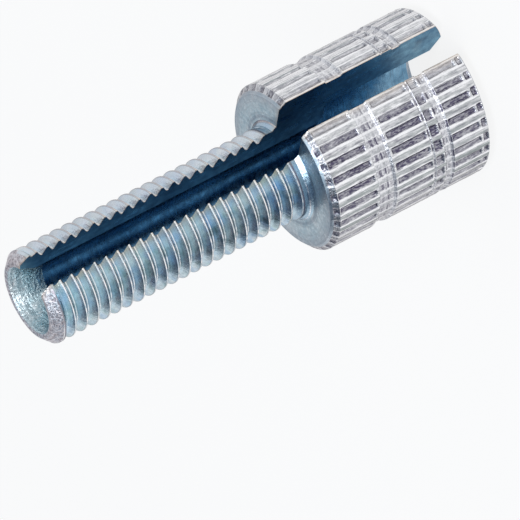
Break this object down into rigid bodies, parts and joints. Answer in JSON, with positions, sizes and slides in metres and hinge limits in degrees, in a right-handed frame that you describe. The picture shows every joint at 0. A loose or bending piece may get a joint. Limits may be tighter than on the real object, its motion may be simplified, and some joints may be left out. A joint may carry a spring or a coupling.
{
  "type": "cable adjuster screw",
  "caption": "Slotted barrel adjuster screw: threaded hollow shank, knurled round head with a deep seat for a cable's end sleeve, and one slot along the whole length.",
  "frame": {"origin": "centre of the shoulder, the flat face round the shank where it leaves the head, on the screw's axis", "axes": "+Z along the axis from the head to the tip of the shank, which is up as the screw stands on its head, +X out through the middle of the slot"},
  "size_m": [0.014, 0.0142, 0.0392],
  "materials": {
    "zinc_plated_steel": "bright zinc plating with a blue cast over turned, rolled and milled steel"
  },
  "bodies": {
    "root": {"adjuster_screw": "zinc_plated_steel"}
  },
  "joints": []
}
